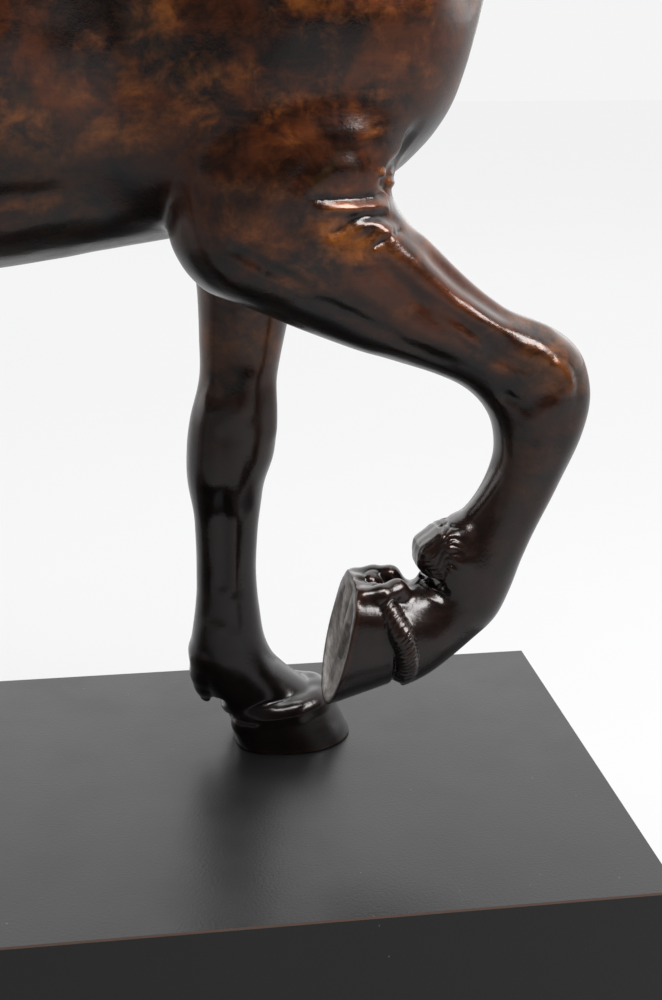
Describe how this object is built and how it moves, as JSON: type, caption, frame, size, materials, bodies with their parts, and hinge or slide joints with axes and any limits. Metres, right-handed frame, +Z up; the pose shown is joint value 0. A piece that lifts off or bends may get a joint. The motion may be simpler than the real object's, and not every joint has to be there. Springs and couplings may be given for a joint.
{
  "type": "bronze statuette",
  "caption": "Cast bronze statuette of a walking horse with one foreleg raised, bolted down onto a rectangular black laminated plinth with a felt underside.",
  "frame": {"origin": "centre of the plinth's underside, on the surface that it stands on", "axes": "+X is the way the horse faces, +Y is the horse's left, +Z is up"},
  "size_m": [0.43, 0.165, 0.476],
  "materials": {
    "bronze": "dark chocolate patina, waxed and polished, rubbed to red-brown on the high places",
    "pin_bronze": "turned bronze rod, filed flush",
    "steel": "zinc plated",
    "fibreboard": "medium density fibreboard, sanded",
    "plywood": "birch plywood, sanded",
    "laminate": "black high-pressure laminate with a fine orange-peel grain",
    "felt": "pressed wool felt"
  },
  "bodies": {
    "root": {"body_casting": "bronze", "neck_and_head_casting": "bronze", "tail_casting": "bronze", "right_foreleg_casting": "bronze", "left_foreleg_casting": "bronze", "right_hind_leg_casting": "bronze", "left_hind_leg_casting": "bronze", "leg_joint_pins": "pin_bronze", "neck_joint_pins": "pin_bronze", "tail_joint_pin": "pin_bronze", "core_vent_plugs": "pin_bronze", "hoof_studs": "steel", "stud_washers": "steel", "stud_spring_washers": "steel", "stud_nuts": "steel", "plinth_top_board": "fibreboard", "plinth_front_rail": "fibreboard", "plinth_back_rail": "fibreboard", "plinth_left_end": "fibreboard", "plinth_right_end": "fibreboard", "corner_blocks": "fibreboard", "bottom_cover": "plywood", "cover_screws": "steel", "laminate_top": "laminate", "laminate_front": "laminate", "laminate_back": "laminate", "laminate_left": "laminate", "laminate_right": "laminate", "base_felt": "felt"}
  },
  "joints": []
}
